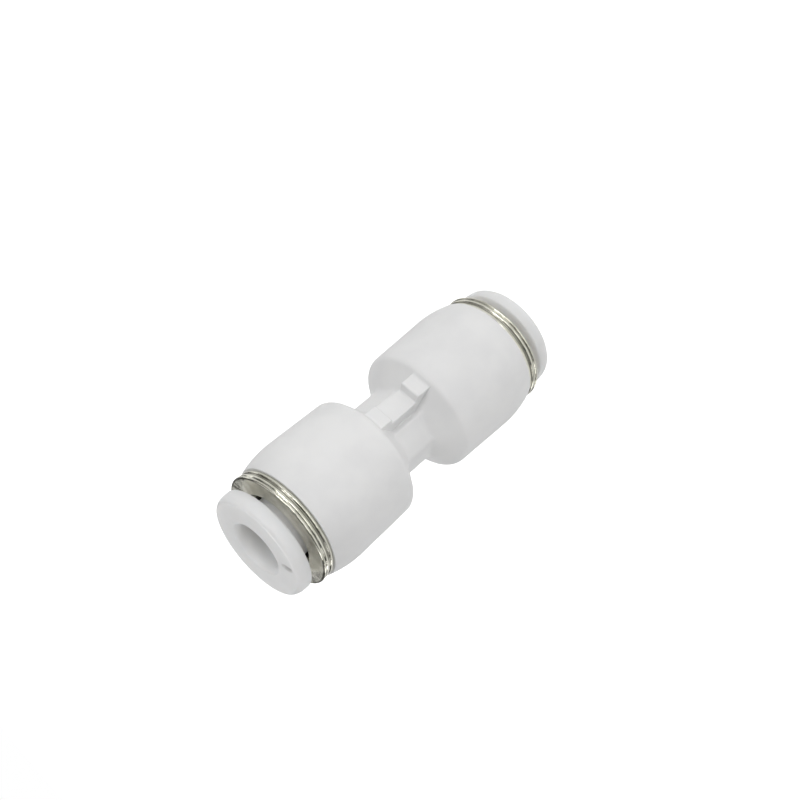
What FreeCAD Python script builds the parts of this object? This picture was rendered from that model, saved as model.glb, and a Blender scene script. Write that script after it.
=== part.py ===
import FreeCAD, Part
import math
import os

# Straight push-in union for plastic tube, standing on one end.
# Z runs along the tube, and z = 0 is the lower button's outer face.
# Each end holds a collar, a release button, a collet, a claw ring and a lip seal.
# All sizes are in millimetres. Radii grow outwards from the tube that goes in.

# Tube and the passage through the body
tube_diameter = 4.0
tube_clearance = 0.05
flow_bore_diameter = 2.5
seat_length = 1.5
seat_lead = 0.25
end_wall = 0.95

# Eight-sided waist between the two barrels, with conical shoulders and a stepped rib
barrel_gap = 5.9
waist_flats = 6.0
waist_sides = 8
waist_length = 2.64
rib_width = 1.6
rib_drop = 0.27
rib_edge = 0.12
pad_length = 2.7
pad_height = 0.92

# Barrel outside
barrel_draft = 0.15
barrel_edge = 0.12
taper_length = 2.6
mouth_narrowing = 0.405
mouth_wall = 0.745

# Lip seal
gland_depth = 1.25
seal_length = 1.45
seal_heel_clearance = 0.2
seal_lip_reach = 0.1
seal_lip_width = 0.3
seal_groove_depth = 0.75
seal_groove_width = 0.25
seat_allowance = 0.01

# Claw ring
claw_count = 8
claw_angle = 30.0
claw_bite = 0.1
claw_slot = 0.3
claw_ring_thickness = 0.3
claw_tip_clearance = 0.15
claw_ring_play = 0.04
claw_ring_side_play = 0.05

# Collet
collet_wall = 0.68
collet_lip = 0.35
collet_lip_hold = 0.3
collet_skirt_wall = 0.3
collet_float = 0.05
collet_guide_length = 1.1
collet_finger_count = 6
collet_slot = 0.45
wedge_height = 0.45
wedge_angle = 35.0
wedge_travel = 0.25
wedge_shoulder = 0.2

# Guide collar
turn_clearance = 0.05
chamber_clearance = 0.2
guide_wall = 0.2
sleeve_length = 2.77
collar_step = 0.03
collar_height = 1.03
bead_count = 3
bead_height = 0.13
bead_land = 0.16
bead_taper = 0.025
guide_lip_clearance = 0.38
guide_lip_height = 0.4
guide_lead = 0.36

# Release button
stem_wall = 0.47
stem_clearance = 0.05
stem_foot = 0.15
barb_height = 0.18
barb_length = 0.35
barb_clearance = 0.1
barb_rest = 0.03
nose_clearance = 0.02
press_travel = 0.8
press_margin = 0.05
flange_inset = 0.415
flange_thickness = 1.17
flange_round = 0.27
flange_edge = 0.1
button_lead = 0.25
gate_mark_length = 1.1
gate_mark_width = 0.3
gate_mark_depth = 0.08
gate_mark_inset = 1.05
gate_mark_angle = -155.0

# Radii, from the bore outwards
flow_r = flow_bore_diameter / 2
bore_r = tube_diameter / 2 + tube_clearance
stem_r = bore_r + stem_wall
barb_r = stem_r + barb_height
collet_bore_r = stem_r + stem_clearance
collet_relief_r = barb_r + barb_clearance
collet_r = collet_bore_r + collet_wall
collet_head_r = collet_r + wedge_height
claw_groove_r = collet_head_r - collet_skirt_wall
claw_ring_r = claw_groove_r - claw_ring_side_play
collet_lip_r = claw_ring_r - collet_lip_hold
claw_root_r = collet_lip_r - claw_ring_side_play
claw_tip_r = tube_diameter / 2 - claw_bite
gland_r = bore_r + gland_depth
guide_hole_r = collet_r + turn_clearance
guide_lip_r = stem_r + guide_lip_clearance
chamber_r = collet_head_r + chamber_clearance
sleeve_seat_r = chamber_r + guide_wall
sleeve_r = sleeve_seat_r - seat_allowance
mouth_r = sleeve_seat_r + mouth_wall
barrel_r = mouth_r + mouth_narrowing
rim_r = barrel_r - barrel_draft
collar_r = mouth_r - collar_step
flange_r = collar_r - flange_inset
waist_r = waist_flats / 2
waist_root_r = (flow_r + waist_r) / 2
rib_r = rim_r - rib_drop
pad_r = waist_r + pad_height

# Heights of one end, from the fitting's middle outwards
slope = math.tan(math.radians(claw_angle))
claw_rise = claw_ring_thickness * math.cos(math.radians(claw_angle))
claw_heel_r = claw_tip_r + claw_ring_thickness * math.sin(math.radians(claw_angle))
waist_z = waist_length / 2
pad_z = pad_length / 2
rim_z = barrel_gap / 2
stop_z = rim_z + end_wall
gland_z = stop_z + seat_length
seal_top_z = gland_z + seal_length
claw_heel_z = seal_top_z + claw_tip_clearance
claw_ring_z = claw_heel_z + (claw_root_r - claw_heel_r) * slope
claw_ring_top_z = claw_ring_z + claw_ring_thickness
claw_groove_z = claw_ring_z - claw_ring_play
claw_groove_top_z = claw_ring_top_z + claw_ring_play
collet_z = claw_groove_z - collet_lip
chamber_z = collet_z - collet_float
wedge_z = claw_groove_top_z + wedge_shoulder
wedge_top_z = wedge_z + wedge_height / math.tan(math.radians(wedge_angle))
guide_cone_z = wedge_top_z + wedge_travel
guide_flare = (chamber_r - guide_hole_r) / math.tan(math.radians(wedge_angle))
guide_z = guide_cone_z - guide_flare
mouth_z = guide_z + sleeve_length
collar_z = mouth_z + collar_height
nose_z = claw_ring_top_z + nose_clearance + press_travel
barb_top_z = nose_z + barb_length
collet_bore_z = barb_top_z + barb_rest
collet_top_z = collet_bore_z + collet_guide_length
flange_z = collar_z + press_travel + press_margin
face_z = flange_z + flange_thickness
half_length = face_z

axis_z = FreeCAD.Vector(0, 0, 1)
middle = FreeCAD.Vector(0, 0, half_length)
side_axis = FreeCAD.Vector(1, 0, 0)


def point(r, z):
    return FreeCAD.Vector(r, 0, z)


def outline(start, *steps):
    """Closed wire in the XZ plane: two numbers are a line's end, four an arc's middle and end."""
    edges = []
    here = point(*start)
    for step in steps:
        end = point(*step[-2:])
        if len(step) == 4:
            edges.append(Part.Arc(here, point(*step[:2]), end).toShape())
        else:
            edges.append(Part.LineSegment(here, end).toShape())
        here = end
    edges.append(Part.LineSegment(here, point(*start)).toShape())
    return Part.Wire(edges)


def turned(start, *steps):
    """A solid of revolution about Z."""
    face = Part.Face(outline(start, *steps))
    return face.revolve(FreeCAD.Vector(0, 0, 0), axis_z, 360)


def slots(count, width, reach, z_low, z_high, turn=0.0):
    """Radial slots from the axis out to a reach, evenly spaced."""
    cutters = []
    for i in range(count):
        box = Part.makeBox(reach, width, z_high - z_low, FreeCAD.Vector(0, -width / 2, z_low))
        box.rotate(FreeCAD.Vector(0, 0, 0), axis_z, turn + i * 360.0 / count)
        cutters.append(box)
    return cutters


def rib_bar(top_r, z_low, z_high):
    """Bar along Z on the -Y side, with its two outer edges chamfered."""
    half = rib_width / 2
    shoulder = top_r - rib_edge
    near = half - rib_edge
    right_side = [(half, waist_root_r), (half, shoulder), (near, top_r)]
    left_side = [(-x, y) for x, y in reversed(right_side)]
    corners = [FreeCAD.Vector(x, -y, z_low) for x, y in right_side + left_side]
    wire = Part.makePolygon(corners + corners[:1])
    return Part.Face(wire).extrude(FreeCAD.Vector(0, 0, z_high - z_low))


def waist(z_high):
    """Eight-sided prism from the middle up, bored through, with one flat under each rib."""
    corner_r = waist_r / math.cos(math.pi / waist_sides)
    corners = []
    for i in range(waist_sides + 1):
        turn = (2 * i + 1) * math.pi / waist_sides
        corners.append(FreeCAD.Vector(corner_r * math.cos(turn), corner_r * math.sin(turn), 0))
    prism = Part.Face(Part.makePolygon(corners)).extrude(FreeCAD.Vector(0, 0, z_high))
    return prism.cut(Part.makeCylinder(flow_r, z_high))


def half_body():
    """One barrel with half of the waist, bored from its mouth to the middle."""
    # the cone of the shoulder meets the flats at the waist's end, and runs on inside the waist
    edge_r = rim_r - barrel_edge
    edge_z = rim_z - barrel_edge
    root_z = waist_z - (waist_r - waist_root_r) * (edge_z - waist_z) / (edge_r - waist_r)
    taper_z = mouth_z - taper_length
    # the mouth's taper is an arc that starts along Z, about a centre at the taper's lower end
    taper_round = (mouth_narrowing ** 2 + taper_length ** 2) / (2 * mouth_narrowing)
    half_turn = math.asin(taper_length / taper_round) / 2
    taper_mid_r = barrel_r - taper_round * (1 - math.cos(half_turn))
    taper_mid_z = taper_z + taper_round * math.sin(half_turn)
    barrel = turned(
        (flow_r, 0),
        (waist_root_r, 0),
        (waist_root_r, root_z),
        (edge_r, edge_z),
        (rim_r, rim_z + barrel_edge),
        (barrel_r, taper_z),
        (taper_mid_r, taper_mid_z, mouth_r, mouth_z),
        (sleeve_seat_r, mouth_z),
        (sleeve_seat_r, guide_z),
        (chamber_r, guide_z),
        (chamber_r, chamber_z),
        (gland_r, chamber_z),
        (gland_r, gland_z),
        (bore_r + seat_lead, gland_z),
        (bore_r, gland_z - seat_lead),
        (bore_r, stop_z),
        (flow_r, stop_z),
    )
    block_end = rim_z + end_wall / 2
    bars = [rib_bar(pad_r, 0, block_end), rib_bar(rib_r, pad_z, block_end)]
    opposite = []
    for bar in bars:
        turned_bar = bar.copy()
        turned_bar.rotate(FreeCAD.Vector(0, 0, 0), axis_z, 180)
        opposite.append(turned_bar)
    return barrel.fuse(bars + opposite + [waist((waist_z + rim_z) / 2)])


def body():
    """Both barrels, the waist and its two ribs as one moulding."""
    upper = half_body()
    lower = upper.copy()
    lower.rotate(FreeCAD.Vector(0, 0, 0), side_axis, 180)
    return upper.fuse(lower).removeSplitter()


def guide():
    """Metal collar: beaded ring on the mouth, lip round the stem, and a cone that closes the collet."""
    bead = collar_height / bead_count
    flank = (bead - bead_land) / 2
    valley_r = collar_r - bead_height
    lip_top_z = collar_z - guide_lead
    steps = []
    for i in reversed(range(bead_count)):
        low_z = mouth_z + i * bead
        crest_r = collar_r - i * bead_taper
        steps.append((crest_r, low_z + flank + bead_land))
        steps.append((crest_r, low_z + flank))
        steps.append((valley_r, low_z))
    return turned(
        (guide_hole_r, guide_cone_z),
        (guide_hole_r, lip_top_z - guide_lip_height),
        (guide_lip_r, lip_top_z - guide_lip_height),
        (guide_lip_r, lip_top_z),
        (guide_lip_r + guide_lead, collar_z),
        (valley_r, collar_z),
        *steps,
        (sleeve_r, mouth_z),
        (sleeve_r, guide_z),
        (chamber_r, guide_z),
    )


def collet():
    """Slit sleeve: its bore guides the button, its head holds the claw ring and wedges in the guide."""
    sleeve = turned(
        (collet_bore_r, collet_bore_z),
        (collet_bore_r, collet_top_z),
        (collet_r, collet_top_z),
        (collet_r, wedge_top_z),
        (collet_head_r, wedge_z),
        (collet_head_r, collet_z),
        (collet_lip_r, collet_z),
        (collet_lip_r, claw_groove_z),
        (claw_groove_r, claw_groove_z),
        (claw_groove_r, claw_groove_top_z),
        (collet_relief_r, claw_groove_top_z),
        (collet_relief_r, collet_bore_z),
    )
    turn = 180.0 / collet_finger_count
    reach = collet_head_r + collet_slot
    below = collet_z - collet_slot
    return sleeve.cut(slots(collet_finger_count, collet_slot, reach, below, wedge_top_z, turn))


def claw_ring():
    """Thin sprung ring whose claws lean inwards and back, so that they bite a tube that is pulled."""
    tip_z = claw_heel_z + claw_rise
    root_top_r = claw_tip_r + (claw_ring_top_z - tip_z) / slope
    ring = turned(
        (claw_root_r, claw_ring_z),
        (claw_ring_r, claw_ring_z),
        (claw_ring_r, claw_ring_top_z),
        (root_top_r, claw_ring_top_z),
        (claw_tip_r, tip_z),
        (claw_heel_r, claw_heel_z),
    )
    below = claw_heel_z - claw_slot
    above = claw_ring_top_z + claw_slot
    return ring.cut(slots(claw_count, claw_slot, claw_root_r, below, above))


def seal():
    """Y-section lip seal: its groove faces the pressure, and its inner lip presses on the tube."""
    outer_r = gland_r - seat_allowance
    inner_r = bore_r + seal_heel_clearance
    lip_r = tube_diameter / 2 - seal_lip_reach
    middle_r = (inner_r + outer_r) / 2
    groove_z = gland_z + seal_groove_depth
    lip_face_z = gland_z + seal_lip_width
    return turned(
        (outer_r, gland_z),
        (outer_r, seal_top_z),
        (inner_r, seal_top_z),
        (inner_r, groove_z),
        (lip_r, lip_face_z),
        (lip_r + seal_lip_width, gland_z),
        (middle_r - seal_groove_width / 2, groove_z),
        (middle_r + seal_groove_width / 2, groove_z),
        (outer_r - seal_lip_width, gland_z),
    )


def release_button():
    """Round push button: a flange on a hollow stem with a barb behind the collet's bore."""
    # two cones follow the rounding of the flange's rim
    round_z = face_z - flange_round
    round_r = flange_r - flange_round
    round_reach = flange_round * math.sqrt(0.5)
    button = turned(
        (bore_r, nose_z),
        (stem_r, nose_z),
        (barb_r, barb_top_z - barb_height),
        (barb_r, barb_top_z),
        (stem_r, barb_top_z),
        (stem_r, flange_z - stem_foot),
        (stem_r + stem_foot, flange_z),
        (flange_r - flange_edge, flange_z),
        (flange_r, flange_z + flange_edge),
        (flange_r, round_z),
        (round_r + round_reach, round_z + round_reach),
        (round_r, face_z),
        (bore_r + button_lead, face_z),
        (bore_r, face_z - button_lead),
    )
    mark_x = flange_r - gate_mark_inset - gate_mark_length / 2
    mark_corner = FreeCAD.Vector(mark_x, -gate_mark_width / 2, face_z - gate_mark_depth)
    mark = Part.makeBox(gate_mark_length, gate_mark_width, gate_mark_depth, mark_corner)
    mark.rotate(FreeCAD.Vector(0, 0, 0), axis_z, gate_mark_angle)
    return button.cut(mark)


def upper_end(shape):
    """Lift a shape drawn from the fitting's middle into the standing frame."""
    placed = shape.copy()
    placed.translate(middle)
    return placed


def lower_end(shape):
    """The same piece turned end for end."""
    placed = upper_end(shape)
    placed.rotate(middle, side_axis, 180)
    return placed


os.makedirs("parts", exist_ok=True)
upper_end(body()).exportStep("parts/body.step")
end_pieces = {
    "guide": guide(),
    "collet": collet(),
    "claw_ring": claw_ring(),
    "seal": seal(),
    "release_button": release_button(),
}
for name, shape in end_pieces.items():
    upper_end(shape).exportStep("parts/" + name + "_upper.step")
    lower_end(shape).exportStep("parts/" + name + "_lower.step")
print("length", round(2 * half_length, 3), "barrel diameter", round(2 * barrel_r, 3))
print("mouth at", round(mouth_z, 3), "collar front at", round(collar_z, 3), "flange at", round(flange_z, 3))
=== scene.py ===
import math

import bpy
import numpy as np
from mathutils import Matrix, Vector


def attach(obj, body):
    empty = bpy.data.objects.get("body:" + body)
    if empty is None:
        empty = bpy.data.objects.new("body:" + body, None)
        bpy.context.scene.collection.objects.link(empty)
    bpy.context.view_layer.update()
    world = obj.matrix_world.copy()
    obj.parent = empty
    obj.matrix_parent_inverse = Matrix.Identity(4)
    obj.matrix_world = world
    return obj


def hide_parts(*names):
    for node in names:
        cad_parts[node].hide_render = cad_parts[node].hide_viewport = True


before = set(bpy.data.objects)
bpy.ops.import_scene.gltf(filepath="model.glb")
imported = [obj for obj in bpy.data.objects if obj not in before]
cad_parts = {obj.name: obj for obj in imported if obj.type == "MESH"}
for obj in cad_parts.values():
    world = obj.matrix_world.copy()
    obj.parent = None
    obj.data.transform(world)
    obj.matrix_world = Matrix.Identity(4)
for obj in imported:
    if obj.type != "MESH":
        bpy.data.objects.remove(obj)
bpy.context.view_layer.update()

mm = 0.001
middleHeight = 13.94426  # from the floor to the fitting's middle, in mm
endTurns = {"upper": 1.0, "lower": -1.0}  # the lower end is the upper one turned over about X
white = (1, 1, 1, 1)


def meshFromRings(name, radii, heights, angles):
    # point(i, j) = (r cos a, r sin a, z) with r and z of ring i at angle j; the grid closes both ways
    r, z, a = np.broadcast_arrays(radii, heights, angles[None, :])
    points = np.stack([r * np.cos(a), r * np.sin(a), z + middleHeight], axis=-1) * mm
    rows, columns = r.shape
    i, j = np.meshgrid(np.arange(rows), np.arange(columns), indexing="ij")
    iNext, jNext = (i + 1) % rows, (j + 1) % columns
    corners = [i * columns + j, i * columns + jNext, iNext * columns + jNext, iNext * columns + j]
    faces = np.stack(corners, axis=-1).reshape(-1, 4)
    flat = points.reshape(-1, 3)
    p0, p1, p2, p3 = (flat[faces[:, k]] for k in range(4))
    volume = np.einsum("ij,ij->i", p0 + p2, np.cross(p2 - p0, p3 - p1)).sum()
    if volume < 0:  # the rings ran the other way, so the faces would look inwards
        faces = faces[:, ::-1]
    mesh = bpy.data.meshes.new(name)
    mesh.vertices.add(len(flat))
    mesh.vertices.foreach_set("co", flat.ravel())
    mesh.loops.add(faces.size)
    mesh.loops.foreach_set("vertex_index", faces.ravel().astype(np.int32))
    mesh.polygons.add(len(faces))
    mesh.polygons.foreach_set("loop_start", np.arange(0, faces.size, 4, dtype=np.int32))
    mesh.update(calc_edges=True)
    mesh.validate()
    mesh.polygons.foreach_set("use_smooth", np.ones(len(mesh.polygons), dtype=bool))
    piece = bpy.data.objects.new(name, mesh)
    bpy.context.scene.collection.objects.link(piece)
    print("made", name, "with", len(mesh.polygons), "faces")
    return piece


def anglesDenseAt(centres, s):
    # evenly spread angles, squeezed together near each centre: the inverse of the running sum of a density
    # that rises like a bell there
    fine = np.linspace(0, 2 * np.pi, 7201)
    gaps = [np.angle(np.exp(1j * (fine - c))) for c in centres]
    density = 1 + s["angleGain"] * sum(np.exp(-(g / s["angleReach"]) ** 4) for g in gaps)
    running = np.concatenate([[0], np.cumsum((density[1:] + density[:-1]) / 2)])
    return np.interp(np.arange(s["angleCount"]) / s["angleCount"] * running[-1], running, fine)


def cornerCurve(start, corner, end, steps):
    # squares of (1 - t) and t weigh the curve's two ends, and 2t(1 - t) the corner that it cuts
    t = np.linspace(0, 1, steps)[:, None]
    start, corner, end = (p[..., None, :] for p in (start, corner, end))
    return start * (1 - t) ** 2 + 2 * corner * t * (1 - t) + end * t ** 2


def easedCorner(before, corner, after, cut, steps):
    # the curve that cuts one corner, from a point on one side to a point as far along the other
    before, corner, after = (np.array(p, dtype=float) for p in (before, corner, after))
    start = corner + (before - corner) / np.linalg.norm(before - corner) * cut
    end = corner + (after - corner) / np.linalg.norm(after - corner) * cut
    return cornerCurve(start, corner, end, steps)


def cornered(points, soft, steps):
    # closed outline of (r, z) corners: each becomes a short curve, which cuts at most 0.4 of the shorter side
    p = np.array(points, dtype=float)
    before, after = np.roll(p, 1, axis=0) - p, np.roll(p, -1, axis=0) - p
    lengthBefore, lengthAfter = (np.linalg.norm(v, axis=1, keepdims=True) for v in (before, after))
    cut = np.minimum(soft, 0.4 * np.minimum(lengthBefore, lengthAfter))
    start, end = p + before / lengthBefore * cut, p + after / lengthAfter * cut
    return cornerCurve(start, p, end, steps).reshape(-1, 2)


# the body, one white moulding

bodySizes = {  # mm, and heights are from the fitting's middle
    "barrelRadius": 5.25, "rimRadius": 5.10, "rimHeight": 2.9215, "rimSoft": 0.34,
    "taperStart": 8.294, "mouth": 10.894, "mouthRadius": 4.845,
    "waistRadius": 3.0, "waistSides": 8, "flatSoft": 0.18,
    "waistHalf": 1.32, "shoulderSlope": 1.3113, "shoulderRoot": 0.34,
    "ribWidth": 1.68, "upperTop": 4.54, "lowerTop": 4.68,  # the rib's two blocks, measured from the axis
    "padTop": 3.92, "padHalf": 1.35, "stepLean": 0.12, "edgeSoft": 0.13, "ribRoot": 0.07,
    "rootGroove": 0.28, "rootReach": 0.50,  # depth and width of the hollow at the rib's foot
    # the hole, from the middle outwards
    "flowRadius": 1.25, "stop": 3.9, "boreRadius": 2.05, "boreLead": 0.25, "glandRadius": 3.30, "gland": 5.4,
    "chamberRadius": 3.90, "chamber": 7.109, "sleeveSeat": 4.10, "guide": 8.124, "insideSoft": 0.03,
    # where the mesh has its rings
    "rimSteps": 10, "arcSteps": 12, "insideSteps": 4,
    "padRings": (0, 0.3, 0.6, 0.85, 0.98, 1.06), "stepReach": 0.12, "blockStart": 0.28, "blockRings": 16,
    "rimGap": 0.05, "barrelStart": 0.15, "barrelRings": (4.2, 5.6, 7.0), "barrelEnd": 0.3,
    "angleCount": 430, "angleReach": 0.43, "angleGain": 6.0,  # denser at the ribs
}


def smoothLeast(a, b, soft):
    # the smaller of two values, eased by h^2 k / 4 where they lie within k of each other
    h = np.clip(soft - np.abs(a - b), 0, None) / soft
    return np.minimum(a, b) - h * h * soft / 4


def smoothMost(a, b, soft):
    # the greater of two values, eased the same way
    return -smoothLeast(-a, -b, soft)


def flatsOutline(angles, radius, sides, soft):
    # distance from the axis to a regular polygon: its inner radius over the cosine of the angle from the
    # middle of the nearest flat
    step = 2 * np.pi / sides
    off = np.abs((angles + step / 2) % step - step / 2)
    return smoothLeast(radius / np.cos(off), radius / np.cos(step - off), soft)


def barOutline(angles, width, top, soft, farOff=40.0, least=1e-3):
    # distance from the axis to a bar on -Y and +Y: half the width over |cos|, or the height over |sin|,
    # whichever is less; neither goes past farOff, because each is endless where its cosine or sine is nothing
    wall = width / 2 / np.maximum(np.abs(np.cos(angles)), least)
    roof = top / np.maximum(np.abs(np.sin(angles)), least)
    return smoothLeast(np.minimum(wall, farOff), np.minimum(roof, farOff), soft)


def stepRings(inner, outer, height, soft, lean):
    # a step from one outline to another: a quarter turn q(1 - cos), a straight riser, and a quarter turn
    # back, the whole leaning
    q = np.clip((outer - inner) / 2, -soft, soft)
    a = np.linspace(0, np.pi / 2, 5)[:, None]
    share = np.array([0.06, 0.3, 0.7, 0.94])[:, None]  # of the way up the riser
    radii = np.concatenate([
        inner + q * (1 - np.cos(a)),
        inner + q + share * (outer - inner - 2 * q),
        outer - q * (1 - np.sin(a)),
    ])
    bends = np.concatenate([
        height - np.abs(q) * (1 - np.sin(a)),
        height + 0 * share * q,
        height + np.abs(q) * (1 - np.cos(a)),
    ])
    return radii, bends + lean * (radii - (inner + outer) / 2)


def barrelProfile(s, slope, start):
    # the turned part of the body as (r, z): a straight taper, an arc whose radius comes from its rise and
    # run, and the corners of the stepped hole back to the middle
    z = np.array([start + s["barrelStart"], *s["barrelRings"], s["taperStart"] - s["barrelEnd"]])
    barrel = np.stack([s["rimRadius"] + slope * (z - s["rimHeight"]), z], axis=-1)
    rise, run = s["barrelRadius"] - s["mouthRadius"], s["mouth"] - s["taperStart"]
    bend = (rise ** 2 + run ** 2) / (2 * rise)
    t = np.linspace(0, math.asin(run / bend), s["arcSteps"])[:-1]
    arc = np.stack([s["barrelRadius"] - bend * (1 - np.cos(t)), s["taperStart"] + bend * np.sin(t)], axis=-1)
    onArc = (s["mouthRadius"] + 0.02, s["mouth"] - 0.06)  # a point just before the mouth's corner
    inFlow = (s["flowRadius"], 0.5)  # a point on the way to the middle
    steps = s["insideSteps"]
    inside = cornered([
        onArc, (s["mouthRadius"], s["mouth"]), (s["sleeveSeat"], s["mouth"]), (s["sleeveSeat"], s["guide"]),
        (s["chamberRadius"], s["guide"]), (s["chamberRadius"], s["chamber"]),
        (s["glandRadius"], s["chamber"]), (s["glandRadius"], s["gland"]),
        (s["boreRadius"] + s["boreLead"], s["gland"]), (s["boreRadius"], s["gland"] - s["boreLead"]),
        (s["boreRadius"], s["stop"]), (s["flowRadius"], s["stop"]), inFlow,
    ], s["insideSoft"], steps)
    inside = inside[steps:1 - steps]  # onArc only leads in, and inFlow keeps one point
    return np.concatenate([barrel, arc, inside, [[s["flowRadius"], 0]]])


def bodyHalf(s, a, ribTop):
    # the radius at each angle and height is the greatest of three: the flat-sided waist, the ribs and the
    # turned outline. The rings run from the middle over one barrel to its mouth and back inside
    soft, root, step = s["edgeSoft"], s["ribRoot"], s["padHalf"]
    # the hollow beside the rib is deepest at the rib's foot, and falls off as a squared cosine
    fromWall = np.abs(s["waistRadius"] * np.cos(a)) - s["ribWidth"] / 2
    groove = s["rootGroove"] * np.cos(np.pi / 2 * np.clip(fromWall / s["rootReach"], 0, 1)) ** 2
    flats = flatsOutline(a, s["waistRadius"], s["waistSides"], s["flatSoft"]) - groove
    pad, rib = (barOutline(a, s["ribWidth"], top, soft) for top in (s["padTop"], ribTop))

    def waistWith(bar, z):
        # the bar stands out of the waist, which is the greater of its flats and the shoulder's cone
        cone = s["waistRadius"] + (z - s["waistHalf"]) * s["shoulderSlope"]
        return smoothMost(smoothMost(flats, cone, s["shoulderRoot"]), bar, root)

    low = np.array(s["padRings"])[:, None]

    # rings at the step are level where the outlines agree, and climb the riser where the block stands out
    inner, outer = waistWith(pad, step), waistWith(rib, step)
    stepRadius, stepHeight = stepRings(inner, outer, step, soft, s["stepLean"])
    level = step + np.linspace(-s["stepReach"], s["stepReach"], len(stepRadius))[:, None]
    share = np.clip((outer - inner) / (2 * soft), 0, 1)
    middle = level * (1 - share) + stepHeight * share

    # the barrel's rim, a corner between the shoulder and the slightly sloping barrel
    slope = (s["barrelRadius"] - s["rimRadius"]) / (s["taperStart"] - s["rimHeight"])
    waistFoot, rimCorner = (s["waistRadius"], s["waistHalf"]), (s["rimRadius"], s["rimHeight"])
    alongBarrel = (s["rimRadius"] + slope, s["rimHeight"] + 1)
    rim = easedCorner(waistFoot, rimCorner, alongBarrel, s["rimSoft"], s["rimSteps"])
    high = np.linspace(step + s["blockStart"], rim[0, 1] - s["rimGap"], s["blockRings"])[:, None]
    turned = barrelProfile(s, slope, rim[-1, 1])

    parts = [
        (waistWith(pad, low), low),
        (waistWith(pad, middle) * (1 - share) + stepRadius * share, middle),
        (waistWith(rib, high), high),
        (smoothMost(smoothMost(flats, rib, root), rim[:, :1], soft), rim[:, 1:]),
        (turned[:, :1], turned[:, 1:]),
    ]
    spread = [np.broadcast_arrays(r, z, a[None, :]) for r, z in parts]
    return tuple(np.concatenate([part[k] for part in spread]) for k in (0, 1))


def makeBody(s):
    # the upper half's rings, then the lower half's the other way round with z negative
    a = anglesDenseAt([np.pi / 2, 3 * np.pi / 2], s)
    (r, z), (rLow, zLow) = (bodyHalf(s, a, s[top]) for top in ("upperTop", "lowerTop"))
    radii, heights = np.concatenate([r, rLow[-2:0:-1]]), np.concatenate([z, -zLow[-2:0:-1]])
    return meshFromRings("bodyShell", radii, heights, a)


bodyShell = makeBody(bodySizes)


# the guide collars, one on each mouth

guideSizes = {  # mm, and heights are from the fitting's middle
    "holeRadius": 3.30, "coneStart": 8.981, "chamberRadius": 3.90, "sleeve": 8.124, "sleeveRadius": 4.09,
    "lipRadius": 2.84, "lipLow": 11.164, "lipHigh": 11.564, "lipMouth": 3.28,
    "mouth": 10.894, "front": 11.924, "frontEdge": 0.05,
    "beadLow": (10.920, 11.360, 11.675), "beadHigh": (11.200, 11.660, 11.924),  # each bead's two feet
    "crest": 4.80, "beadDepth": 0.15, "beadTaper": 0.035, "beadFullness": 2.2, "beadPoints": 13,
    "mergeRadius": 4.70,  # the shallow line between the two upper beads
    "insideSoft": 0.06, "insideSteps": 5, "outsideSoft": 0.02, "outsideSteps": 4, "angleCount": 300,
}


def beadCurve(s):
    # each bead is a bulge r = valley + h (1 - |v|^k)^(1/k), with v from -1 at its lower foot to 1 at its
    # upper one
    low, high = np.array(s["beadLow"])[:, None], np.array(s["beadHigh"])[:, None]
    v = np.sin(np.linspace(-np.pi / 2, np.pi / 2, s["beadPoints"]))[None, :]
    bulge = np.clip(1 - np.abs(v) ** s["beadFullness"], 0, None) ** (1 / s["beadFullness"])
    order = np.arange(len(low))[::-1, None]
    r = s["crest"] - s["beadDepth"] + (s["beadDepth"] - order * s["beadTaper"]) * bulge
    middle = (low + high) / 2
    z = middle + v * (high - low) / 2
    merged = (z > middle[1]) & (z < middle[2])
    r = np.where(merged, np.maximum(r, s["mergeRadius"]), r)
    return np.stack([r.ravel(), z.ravel()], axis=-1)


def guideProfile(s):
    # corners up the inside, over the lip and the front, then the beads down to the mouth, and the sleeve
    valley = s["crest"] - s["beadDepth"]
    steps = s["insideSteps"]
    inside = cornered([
        (s["sleeveRadius"], s["sleeve"]), (s["chamberRadius"], s["sleeve"]),
        (s["holeRadius"], s["coneStart"]), (s["holeRadius"], s["lipLow"]),
        (s["lipRadius"], s["lipLow"]), (s["lipRadius"], s["lipHigh"]),
        (s["lipMouth"], s["front"]), (valley, s["front"]),
    ], s["insideSoft"], steps)[steps:-steps]
    steps = s["outsideSteps"]
    outside = cornered([
        (valley, s["front"]), (valley, s["mouth"]), (s["sleeveRadius"], s["mouth"]),
        (s["sleeveRadius"], s["sleeve"]), (s["chamberRadius"], s["sleeve"]),
    ], s["outsideSoft"], steps)[steps:-steps]
    front = [[valley - s["frontEdge"], s["front"]]]
    return np.concatenate([inside, front, beadCurve(s)[::-1], outside])


def makeGuide(name, s, turn):
    # the (r, z) profile carried round Z at even angles; at the lower end turn is -1, which changes the sign
    # of z and of the angles
    profile = guideProfile(s)
    a = np.arange(s["angleCount"]) / s["angleCount"] * 2 * np.pi
    return meshFromRings(name, profile[:, :1], profile[:, 1:] * turn, a * turn)


# the release buttons

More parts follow.
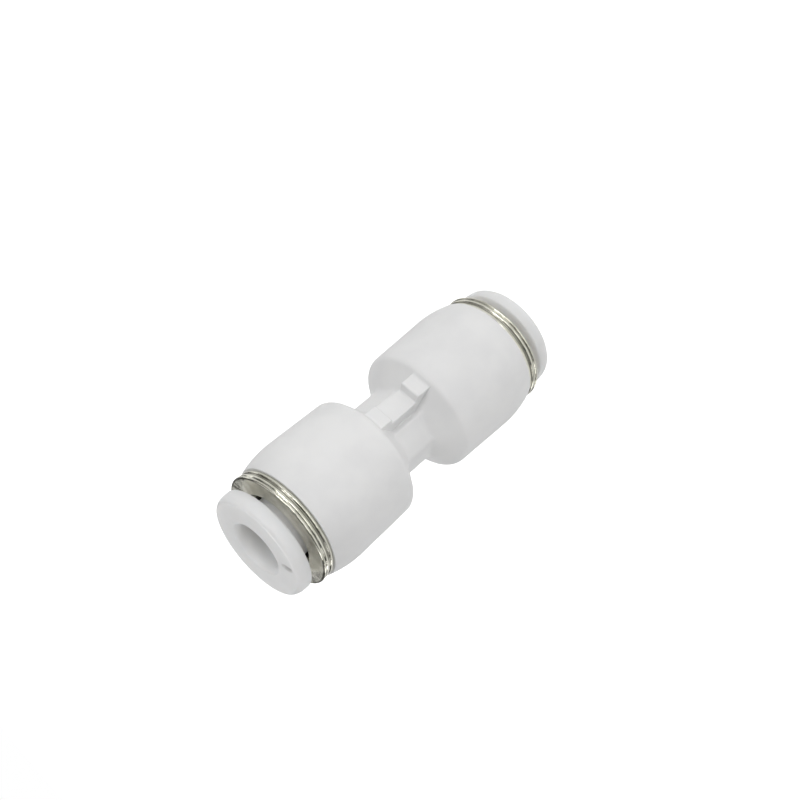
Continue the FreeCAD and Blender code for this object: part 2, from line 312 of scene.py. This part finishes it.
buttonSizes = {  # mm, and heights are from the fitting's middle
    "flangeRadius": 4.40, "flange": 12.74, "face": middleHeight, "faceRound": 0.36, "faceFall": 0.75,
    "backRound": 0.07, "cornerSoft": 0.06,
    "boreRadius": 2.05, "lead": 0.25, "leadDepth": 0.42, "leadKnee": (0.12, 0.10),  # the bore's mouth
    "stemRadius": 2.52, "stemFoot": 0.15, "barbRadius": 2.70, "barbTop": 9.019, "barbHeight": 0.18,
    "nose": 8.669,
    # the gate mark, a dash along a radius
    "markAngle": math.radians(-155.0), "markFrom": 2.80, "markTo": 3.85,
    "markWidth": 0.45, "markDepth": 0.10, "markEdge": 0.12,
    # where the mesh has its rings and angles
    "roundSteps": 9, "faceRings": 36, "leadSteps": 9, "cornerSteps": 5,
    "angleCount": 300, "angleReach": 0.12, "angleGain": 7.0,  # denser at the mark
}


def buttonProfile(s):
    # an elliptic quarter for the edge, a flat face with many rings for the gate mark, a curve into the
    # bore, and the corners of the stem and its barb
    faceEdge = s["flangeRadius"] - s["faceRound"]
    t = np.linspace(0, np.pi / 2, s["roundSteps"])
    edgeRadius = faceEdge + s["faceRound"] * np.cos(t)
    edgeHeight = s["face"] - s["faceFall"] * (1 - np.sin(t))
    rounding = np.stack([edgeRadius, edgeHeight], axis=-1)
    outer, inner = faceEdge - 0.02, s["boreRadius"] + s["lead"] + 0.05  # just inside the face's two edges
    r = np.linspace(outer, inner, s["faceRings"])
    face = np.stack([r, np.full_like(r, s["face"])], axis=-1)
    mouthStart = np.array([s["boreRadius"] + s["lead"], s["face"]])
    mouthEnd = np.array([s["boreRadius"], s["face"] - s["leadDepth"]])
    knee = np.array([s["boreRadius"] + s["leadKnee"][0], s["face"] - s["leadKnee"][1]])
    mouth = cornerCurve(mouthStart, knee, mouthEnd, s["leadSteps"])
    inBore = (s["boreRadius"], s["face"] - 1.0)
    onFlange = (s["flangeRadius"], s["face"] - s["faceFall"] - 0.05)
    steps = s["cornerSteps"]
    shank = cornered([
        inBore, (s["boreRadius"], s["nose"]), (s["stemRadius"], s["nose"]),
        (s["barbRadius"], s["barbTop"] - s["barbHeight"]), (s["barbRadius"], s["barbTop"]),
        (s["stemRadius"], s["barbTop"]), (s["stemRadius"], s["flange"] - s["stemFoot"]),
        (s["stemRadius"] + s["stemFoot"], s["flange"]), (s["flangeRadius"] - s["backRound"], s["flange"]),
        (s["flangeRadius"], s["flange"] + s["backRound"]), onFlange,
    ], s["cornerSoft"], steps)
    shank = shank[steps - 1:1 - steps]  # inBore and onFlange keep one point each
    return np.concatenate([rounding, face, mouth, shank])


def makeButton(name, s, turn):
    # the (r, z) profile carried round Z, where z drops by the mark's depth inside a soft-edged rectangle,
    # the product of a ramp at each of its four sides
    profile = buttonProfile(s)
    a = anglesDenseAt([s["markAngle"] % (2 * np.pi)], s)
    r, z = np.broadcast_arrays(profile[:, :1], profile[:, 1:] * np.ones_like(a)[None, :])
    along = r * np.cos(a - s["markAngle"])
    across = r * np.sin(a - s["markAngle"])
    edge = s["markEdge"]
    inLength = np.clip((along - s["markFrom"]) / edge, 0, 1) * np.clip((s["markTo"] - along) / edge, 0, 1)
    inWidth = np.clip((s["markWidth"] / 2 - np.abs(across)) / edge, 0, 1)
    onFace = z > s["face"] - 1e-6
    z = z - s["markDepth"] * inLength * inWidth * onFace
    return meshFromRings(name, r, z * turn, a * turn)


guides, buttons = {}, {}
for end, turn in endTurns.items():
    guides[end] = makeGuide("guideCollar_" + end, guideSizes, turn)
    buttons[end] = makeButton("releaseButton_" + end, buttonSizes, turn)


# helpers for the materials

def node(tree, kind, **settings):
    made = tree.nodes.new(kind)
    for key, value in settings.items():
        setattr(made, key, value)
    return made


def feed(tree, value, socket):
    # a link where the value is another node's output, and otherwise a fixed value
    if isinstance(value, bpy.types.NodeSocket):
        tree.links.new(value, socket)
    else:
        socket.default_value = value


def math2(tree, operation, a, b=0.0, clamp=False):
    made = node(tree, "ShaderNodeMath", operation=operation, use_clamp=clamp)
    feed(tree, a, made.inputs[0])
    feed(tree, b, made.inputs[1])
    return made.outputs[0]


def mixColour(tree, factor, a, b):
    made = node(tree, "ShaderNodeMix", data_type="RGBA")
    for place, value in ((0, factor), (6, a), (7, b)):  # the sockets that a colour mix uses
        feed(tree, value, made.inputs[place])
    return made.outputs[2]


def ramp(tree, value, low, high):
    # 0 at low and 1 at high, soft at both ends
    made = node(tree, "ShaderNodeMapRange", interpolation_type="SMOOTHSTEP")
    feed(tree, value, made.inputs["Value"])
    feed(tree, low, made.inputs["From Min"])
    feed(tree, high, made.inputs["From Max"])
    return made.outputs["Result"]


def between(tree, value, least, most):
    # least where the value is 0, and most where it is 1
    made = node(tree, "ShaderNodeMapRange")
    feed(tree, value, made.inputs["Value"])
    feed(tree, least, made.inputs["To Min"])
    feed(tree, most, made.inputs["To Max"])
    return made.outputs["Result"]


def noise(tree, place, scale, detail, roughness=0.5, dimensions="3D"):
    made = node(tree, "ShaderNodeTexNoise", noise_dimensions=dimensions)
    feed(tree, place, made.inputs["W" if dimensions == "1D" else "Vector"])
    feed(tree, scale, made.inputs["Scale"])
    feed(tree, detail, made.inputs["Detail"])
    feed(tree, roughness, made.inputs["Roughness"])
    return made.outputs["Fac"]


def newGroup(name, numbers, outputs):
    # a node group that takes a vector and some numbers, and gives out values
    group = bpy.data.node_groups.new(name, "ShaderNodeTree")
    group.interface.new_socket(name="Vector", in_out="INPUT", socket_type="NodeSocketVector")
    for label in numbers:
        group.interface.new_socket(name=label, in_out="INPUT", socket_type="NodeSocketFloat")
    for label in outputs:
        group.interface.new_socket(name=label, in_out="OUTPUT", socket_type="NodeSocketFloat")
    return group, node(group, "NodeGroupInput").outputs, node(group, "NodeGroupOutput").inputs


def placeGroup(tree, group, coords, v):
    # the group in a material, where its "Line Depth" takes the value lineDepth, and so on
    made = node(tree, "ShaderNodeGroup", node_tree=group)
    feed(tree, coords, made.inputs["Vector"])
    for socket in made.inputs[1:]:
        key = socket.name.replace(" ", "")
        feed(tree, v[key[0].lower() + key[1:]], socket)
    return made.outputs


mouldedValues = {
    "mottleDetail": 4.0, "mottleRange": (0.3, 0.7), "grainDetail": 3.0, "grainRoughness": 0.6,
    "rubScale": 1.1, "rubDetail": 6.0, "rubRoughness": 0.7, "rubRange": (0.52, 0.72),
}


def makeMouldedGroup(g):
    # moulded plastic: slow mottling in the tint, a fine spark-eroded grain, and patches rubbed by handling
    numbers, outputs = ["Mottle Size", "Grain Size", "Seed"], ["Mottle", "Grain", "Rub"]
    group, given, out = newGroup("mouldedSkin", numbers, outputs)
    moved = node(group, "ShaderNodeVectorMath", operation="ADD")
    feed(group, given["Vector"], moved.inputs[0])
    feed(group, given["Seed"], moved.inputs[1])
    place = moved.outputs[0]
    mottle = noise(group, place, given["Mottle Size"], g["mottleDetail"])
    grain = noise(group, place, given["Grain Size"], g["grainDetail"], g["grainRoughness"])
    rub = noise(group, place, g["rubScale"], g["rubDetail"], g["rubRoughness"])
    feed(group, ramp(group, mottle, *g["mottleRange"]), out["Mottle"])
    feed(group, grain, out["Grain"])
    feed(group, ramp(group, rub, *g["rubRange"]), out["Rub"])
    return group


turnedValues = {
    "lineDetail": 5.0, "lineRoughness": 0.75, "tarnishDetail": 5.0, "tarnishRange": (0.35, 0.7),
    "scratchScale": 5.0, "scratchDetail": 8.0, "scratchRoughness": 0.8, "scratchRange": (0.55, 0.75),
    "dentScale": 1.3, "dentDetail": 2.0,
    # painted shade in the grooves: how it fades outwards, its foot, and how patchy it is
    "grimeFade": (1.0, 0.0), "grimeFoot": (-0.3, -0.05), "grimePatches": 0.8, "grimeLeast": 0.5,
}


def makeTurnedGroup(g):
    # rolled metal: lines that follow its circles, because they depend only on the radius and the height
    numbers = ["Line Density", "Tarnish Size", "Line Depth", "Dent Depth", "Groove Radius", "Groove Reach"]
    outputs = ["Lines", "Tarnish", "Scratches", "Relief", "Grime"]
    group, given, out = newGroup("turnedLines", numbers, outputs)
    split = node(group, "ShaderNodeSeparateXYZ")
    feed(group, given["Vector"], split.inputs[0])
    x, y, z = split.outputs
    squares = math2(group, "ADD", math2(group, "POWER", x, 2.0), math2(group, "POWER", y, 2.0))
    radius = math2(group, "SQRT", squares)
    place = math2(group, "ADD", radius, z)
    lines = noise(group, place, given["Line Density"], g["lineDetail"], g["lineRoughness"], "1D")
    tarnish = noise(group, given["Vector"], given["Tarnish Size"], g["tarnishDetail"])
    scratch = noise(group, given["Vector"], g["scratchScale"], g["scratchDetail"], g["scratchRoughness"])
    dents = noise(group, given["Vector"], g["dentScale"], g["dentDetail"])
    lineRelief = math2(group, "MULTIPLY", lines, given["Line Depth"])
    dentRelief = math2(group, "MULTIPLY", dents, given["Dent Depth"])
    # painted shade lies in the grooves, broken into patches: 1 at the groove's radius, 0 a reach further out,
    # and 0 well inside it
    beyond = math2(group, "SUBTRACT", radius, given["Groove Radius"])
    beyond = math2(group, "DIVIDE", beyond, given["Groove Reach"])
    fade, foot = ramp(group, beyond, *g["grimeFade"]), ramp(group, beyond, *g["grimeFoot"])
    inGroove = math2(group, "MULTIPLY", fade, foot)
    patchy = math2(group, "ADD", math2(group, "MULTIPLY", tarnish, g["grimePatches"]), g["grimeLeast"])
    feed(group, lines, out["Lines"])
    feed(group, ramp(group, tarnish, *g["tarnishRange"]), out["Tarnish"])
    feed(group, ramp(group, scratch, *g["scratchRange"]), out["Scratches"])
    feed(group, math2(group, "ADD", lineRelief, dentRelief), out["Relief"])
    feed(group, math2(group, "MULTIPLY", inGroove, patchy, clamp=True), out["Grime"])
    return group


mouldedGroup = makeMouldedGroup(mouldedValues)
turnedGroup = makeTurnedGroup(turnedValues)


def newMaterial(name):
    material = bpy.data.materials.new(name)
    material.use_nodes = True
    tree = material.node_tree
    return material, tree, tree.nodes["Principled BSDF"]


def coordsInMm(tree):
    place = node(tree, "ShaderNodeTexCoord")
    scale = node(tree, "ShaderNodeMapping")
    scale.inputs["Scale"].default_value = (1 / mm, 1 / mm, 1 / mm)
    feed(tree, place.outputs["Object"], scale.inputs["Vector"])
    return scale.outputs[0]


def bump(tree, shader, height, depth, strength=1.0):
    made = node(tree, "ShaderNodeBump")
    made.inputs["Strength"].default_value = strength
    made.inputs["Distance"].default_value = depth * mm
    feed(tree, height, made.inputs["Height"])
    feed(tree, made.outputs["Normal"], shader.inputs["Normal"])


def gateMark(tree, coords, v):
    # where the mark's painted shade goes: 1 in the middle of the mark and 0 at its edge, an ellipse round a
    # point on the face, mirrored in y at the lower end. It has no limit in height, so the flange's back has a
    # faint painted shade too
    split = node(tree, "ShaderNodeSeparateXYZ")
    feed(tree, coords, split.inputs[0])
    x, y, z = split.outputs
    y = math2(tree, "MULTIPLY", y, math2(tree, "SIGN", math2(tree, "SUBTRACT", z, middleHeight)))
    c, s = math.cos(v["markAngle"]), math.sin(v["markAngle"])
    along = math2(tree, "ADD", math2(tree, "MULTIPLY", x, c), math2(tree, "MULTIPLY", y, s))
    across = math2(tree, "SUBTRACT", math2(tree, "MULTIPLY", y, c), math2(tree, "MULTIPLY", x, s))
    far = math2(tree, "DIVIDE", math2(tree, "SUBTRACT", along, v["markPlace"]), v["markReach"][0])
    wide = math2(tree, "DIVIDE", across, v["markReach"][1])
    squares = math2(tree, "ADD", math2(tree, "POWER", far, 2.0), math2(tree, "POWER", wide, 2.0))
    return ramp(tree, squares, 1.0, 0.0)


def mouldedMaterial(name, v):
    material, tree, shader = newMaterial(name)
    coords = coordsInMm(tree)
    skin = placeGroup(tree, mouldedGroup, coords, v)
    tint = mixColour(tree, skin["Mottle"], v["tintA"], v["tintB"])
    # painted shade: the gate mark's recess darkened by a tint
    if "markTint" in v:
        tint = mixColour(tree, gateMark(tree, coords, v), tint, v["markTint"])
    feed(tree, tint, shader.inputs["Base Color"])
    feed(tree, between(tree, skin["Rub"], v["roughness"], v["rubbed"]), shader.inputs["Roughness"])
    bump(tree, shader, skin["Grain"], v["grainDepth"], v["grainStrength"])
    shader.inputs["IOR"].default_value = v["ior"]
    shader.inputs["Subsurface Weight"].default_value = v["subsurface"]
    shader.inputs["Subsurface Radius"].default_value = (1.0, 0.95, 0.9)
    shader.inputs["Subsurface Scale"].default_value = v["subsurfaceDepth"] * mm
    return material


def metalMaterial(name, v):
    material, tree, shader = newMaterial(name)
    turned = placeGroup(tree, turnedGroup, coordsInMm(tree), v)
    tint = mixColour(tree, turned["Lines"], v["tintA"], v["tintB"])
    tint = mixColour(tree, math2(tree, "MULTIPLY", turned["Tarnish"], v["tarnish"]), tint, v["tarnishTint"])
    # painted shade: the grooves' colour darkened towards a dark tint, in patches
    tint = mixColour(tree, math2(tree, "MULTIPLY", turned["Grime"], v["grime"]), tint, v["grimeTint"])
    feed(tree, tint, shader.inputs["Base Color"])
    feed(tree, between(tree, turned["Scratches"], v["roughness"], v["scratched"]), shader.inputs["Roughness"])
    bump(tree, shader, turned["Relief"], 1.0)  # the relief is in mm already
    shader.inputs["Metallic"].default_value = 1.0
    return material


# depths are in mm, and a size or density says how many of a noise's cells fit in 1 mm

finishes = {
    "white_moulding": mouldedMaterial("whiteMoulding", {
        "tintA": (0.80, 0.80, 0.80, 1), "tintB": (0.845, 0.845, 0.84, 1),
        "mottleSize": 0.35, "grainSize": 16.0, "seed": 0.0, "roughness": 0.46, "rubbed": 0.36,
        "grainDepth": 0.012, "grainStrength": 0.35, "ior": 1.49, "subsurface": 0.12, "subsurfaceDepth": 0.5}),
    "button_moulding": mouldedMaterial("buttonMoulding", {
        "tintA": (0.80, 0.80, 0.795, 1), "tintB": (0.84, 0.84, 0.84, 1),
        "mottleSize": 0.5, "grainSize": 20.0, "seed": 7.0, "roughness": 0.38, "rubbed": 0.30,
        "grainDepth": 0.010, "grainStrength": 0.3, "ior": 1.48, "subsurface": 1.0, "subsurfaceDepth": 2.2,
        # painted shade in the gate mark: its dark tint, its angle, its middle and its reach
        "markTint": (0.46, 0.46, 0.46, 1), "markAngle": buttonSizes["markAngle"], "markPlace": 3.33,
        "markReach": (0.70, 0.36)}),
    "collet_moulding": mouldedMaterial("colletMoulding", {
        "tintA": (0.020, 0.020, 0.021, 1), "tintB": (0.035, 0.034, 0.033, 1),
        "mottleSize": 0.9, "grainSize": 12.0, "seed": 3.0, "roughness": 0.50, "rubbed": 0.35,
        "grainDepth": 0.015, "grainStrength": 0.4, "ior": 1.48, "subsurface": 0.0, "subsurfaceDepth": 0.1}),
    "seal_rubber": mouldedMaterial("sealRubber", {
        "tintA": (0.012, 0.012, 0.013, 1), "tintB": (0.024, 0.023, 0.022, 1),
        "mottleSize": 1.3, "grainSize": 22.0, "seed": 5.0, "roughness": 0.62, "rubbed": 0.48,
        "grainDepth": 0.02, "grainStrength": 0.5, "ior": 1.52, "subsurface": 0.0, "subsurfaceDepth": 0.1}),
    "nickel_collar": metalMaterial("nickelCollar", {
        "tintA": (0.70, 0.69, 0.60, 1), "tintB": (0.90, 0.885, 0.80, 1),
        "tarnishTint": (0.44, 0.435, 0.345, 1), "tarnish": 0.5, "tarnishSize": 0.9,
        "roughness": 0.14, "scratched": 0.30, "lineDensity": 12.0, "lineDepth": 0.008, "dentDepth": 0.05,
        # painted shade in the grooves: its dark tint and strength, round the groove's radius
        "grimeTint": (0.10, 0.095, 0.07, 1), "grime": 0.6, "grooveRadius": 4.65, "grooveReach": 0.08}),
    "spring_steel": metalMaterial("springSteel", {
        "tintA": (0.50, 0.50, 0.50, 1), "tintB": (0.64, 0.64, 0.63, 1),
        "tarnishTint": (0.36, 0.34, 0.31, 1), "tarnish": 0.3, "tarnishSize": 1.4,
        "roughness": 0.22, "scratched": 0.40, "lineDensity": 30.0, "lineDepth": 0.002, "dentDepth": 0.0,
        "grimeTint": (0.10, 0.10, 0.10, 1), "grime": 0.0, "grooveRadius": 1.0, "grooveReach": 0.1}),
}
print("finishes:", ", ".join(finishes))


def finishWith(piece, slot):
    piece.data.materials.clear()
    piece.data.materials.append(finishes[slot])


finishWith(bodyShell, "white_moulding")
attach(bodyShell, "root")
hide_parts("body")
for end in endTurns:
    finishWith(guides[end], "nickel_collar")
    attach(guides[end], "root")
    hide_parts("guide_" + end)
    finishWith(buttons[end], "button_moulding")
    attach(buttons[end], "release_button_" + end)
    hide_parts("release_button_" + end)

keptNodes = {"collet_": "collet_moulding", "claw_ring_": "spring_steel", "seal_": "seal_rubber"}
for stem, slot in keptNodes.items():
    for end in endTurns:
        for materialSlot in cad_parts[stem + end].material_slots:
            materialSlot.material = finishes[slot]
print("pieces ride on their bodies")


cameraValues = {
    "spot": (-28.475, -82.011, 57.591),  # mm, as the aim
    "aim": (1.050, -1.489, 11.931),
    "up": (0.61274, -0.54772, -0.56969),  # the photo is turned, so up leans over
    "lens": 57.665, "sensor": 36.0, "clip": (0.002, 20.0),  # the clip is in metres
}


def makeCamera(v):
    data = bpy.data.cameras.new("photoCamera")
    data.lens, data.sensor_width = v["lens"], v["sensor"]
    data.clip_start, data.clip_end = v["clip"]
    spot, aim = Vector(v["spot"]) * mm, Vector(v["aim"]) * mm
    back = (spot - aim).normalized()
    right = Vector(v["up"]).cross(back).normalized()
    up = back.cross(right)
    camera = bpy.data.objects.new("photoCamera", data)
    camera.matrix_world = Matrix.Translation(spot) @ Matrix((right, up, back)).transposed().to_4x4()
    bpy.context.scene.collection.objects.link(camera)
    bpy.context.scene.camera = camera


makeCamera(cameraValues)


stageValues = {  # metres
    "floorRadius": 0.45, "floorCorners": 96, "floorTint": (0.62, 0.62, 0.62, 1), "floorRoughness": 0.9,
    "floorLight": 0.346, "floorGlow": 0.70, "worldLight": 0.084,
    "lampDistance": 0.6, "lampSize": 0.22, "lampAim": (0, 0, 0.014),
    "lamps": [  # degrees round Z from the camera's side, degrees above the floor, and watts
        (180, 50, 1.023), (-40, 30, 0.733), (120, 50, 0.435), (-15, 10, 0.427), (120, 10, 0.311),
        (10, 10, 0.306), (30, 10, 0.275), (-40, 50, 0.229), (-55, 10, 0.175), (90, 30, 0.164),
        (-120, 10, 0.159), (-120, 50, 0.134), (-80, 50, 0.099), (180, 10, 0.078), (55, 10, 0.072),
        (-80, 10, 0.069),
    ],
}


def makeFloor(v):
    # a flat disc: one polygon round points at equal angles. It glows, and the camera sees it brighter
    a = np.linspace(0, 2 * np.pi, v["floorCorners"], endpoint=False)
    rim = np.stack([np.cos(a), np.sin(a), 0 * a], axis=-1) * v["floorRadius"]
    mesh = bpy.data.meshes.new("studioFloor")
    mesh.from_pydata(rim.tolist(), [], [list(range(len(a)))])
    floor = bpy.data.objects.new("studioFloor", mesh)
    bpy.context.scene.collection.objects.link(floor)
    material, tree, shader = newMaterial("paleFloor")
    shader.inputs["Base Color"].default_value = v["floorTint"]
    shader.inputs["Roughness"].default_value = v["floorRoughness"]
    shader.inputs["Emission Color"].default_value = white
    path = node(tree, "ShaderNodeLightPath")
    glow = math2(tree, "MULTIPLY", path.outputs["Is Camera Ray"], v["floorGlow"])
    feed(tree, math2(tree, "ADD", glow, v["floorLight"]), shader.inputs["Emission Strength"])
    mesh.materials.append(material)


def makeWorld(v):
    # even light from all round, with plain white behind the object
    world = bpy.data.worlds.new("studio")
    world.use_nodes = True
    bpy.context.scene.world = world
    tree = world.node_tree
    tree.nodes.clear()
    lit, seen = node(tree, "ShaderNodeBackground"), node(tree, "ShaderNodeBackground")
    seen.inputs["Color"].default_value = white
    lit.inputs["Color"].default_value = white
    lit.inputs["Strength"].default_value = v["worldLight"]
    mix = node(tree, "ShaderNodeMixShader")
    feed(tree, node(tree, "ShaderNodeLightPath").outputs["Is Camera Ray"], mix.inputs["Fac"])
    feed(tree, lit.outputs[0], mix.inputs[1])
    feed(tree, seen.outputs[0], mix.inputs[2])
    feed(tree, mix.outputs[0], node(tree, "ShaderNodeOutputWorld").inputs["Surface"])


def makeLamp(name, v, turn, rise, power):
    # a round soft lamp that looks at the object from (turn, rise) on a sphere round it
    data = bpy.data.lights.new(name, "AREA")
    data.shape, data.size, data.energy = "DISK", v["lampSize"], power
    lamp = bpy.data.objects.new(name, data)
    cameraTurn = math.atan2(cameraValues["spot"][1], cameraValues["spot"][0])
    around, up = cameraTurn - math.radians(turn), math.radians(rise)
    direction = Vector((math.cos(around) * math.cos(up), math.sin(around) * math.cos(up), math.sin(up)))
    lamp.location = Vector(v["lampAim"]) + direction * v["lampDistance"]
    lamp.rotation_euler = direction.to_track_quat("Z", "Y").to_euler()
    bpy.context.scene.collection.objects.link(lamp)


makeFloor(stageValues)
makeWorld(stageValues)
for count, (turn, rise, power) in enumerate(stageValues["lamps"], start=1):
    makeLamp("softLamp" + str(count), stageValues, turn, rise, power)
bpy.context.scene.view_settings.view_transform = "Standard"
print("camera, floor and light are in place")
